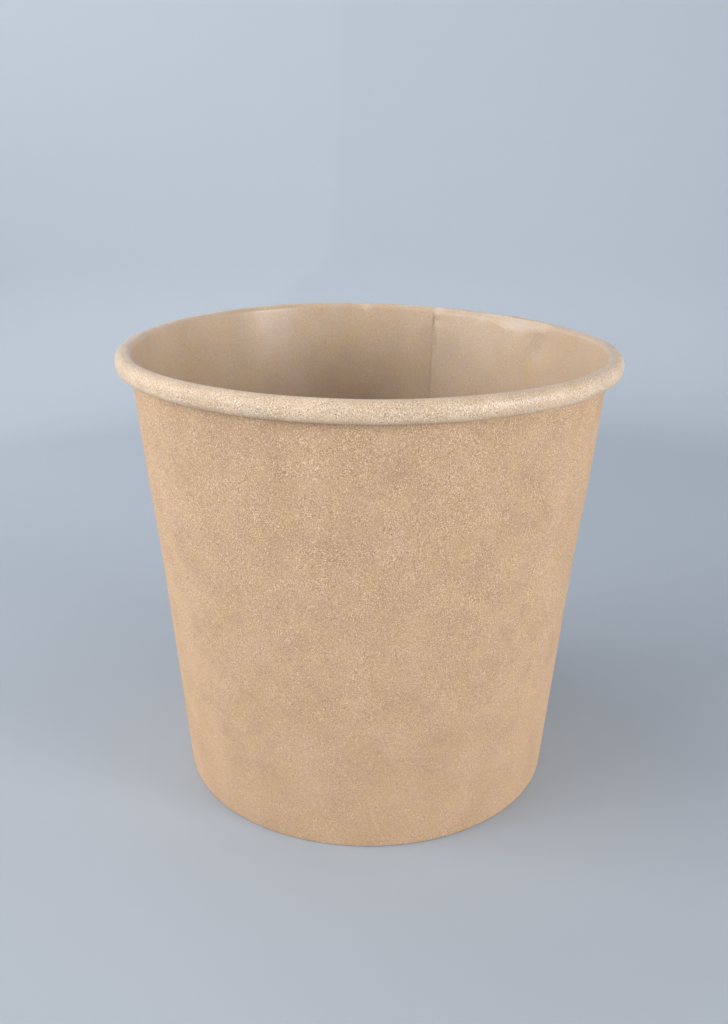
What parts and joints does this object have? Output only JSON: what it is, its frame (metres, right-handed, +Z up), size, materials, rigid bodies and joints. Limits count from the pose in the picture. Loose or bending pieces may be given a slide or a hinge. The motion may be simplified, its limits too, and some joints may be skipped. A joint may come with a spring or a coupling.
{
  "type": "kraft paper soup container",
  "caption": "Round tapered soup container of kraft board, with a lapped side seam, a rolled rim for a lid and a recessed base held in a hem.",
  "frame": {"origin": "centre of the foot ring, on the surface that the container stands on", "axes": "+Z up along the container's axis, +Y through the middle of the side seam's lap"},
  "size_m": [0.117, 0.117, 0.1065],
  "materials": {
    "kraft_board": "bare unbleached kraft outside, thin satin coating inside and on the rim",
    "kraft_base": "unbleached kraft with a thin satin coating on the food side"
  },
  "bodies": {
    "root": {"sidewall": "kraft_board", "base_disc": "kraft_base"}
  },
  "joints": []
}
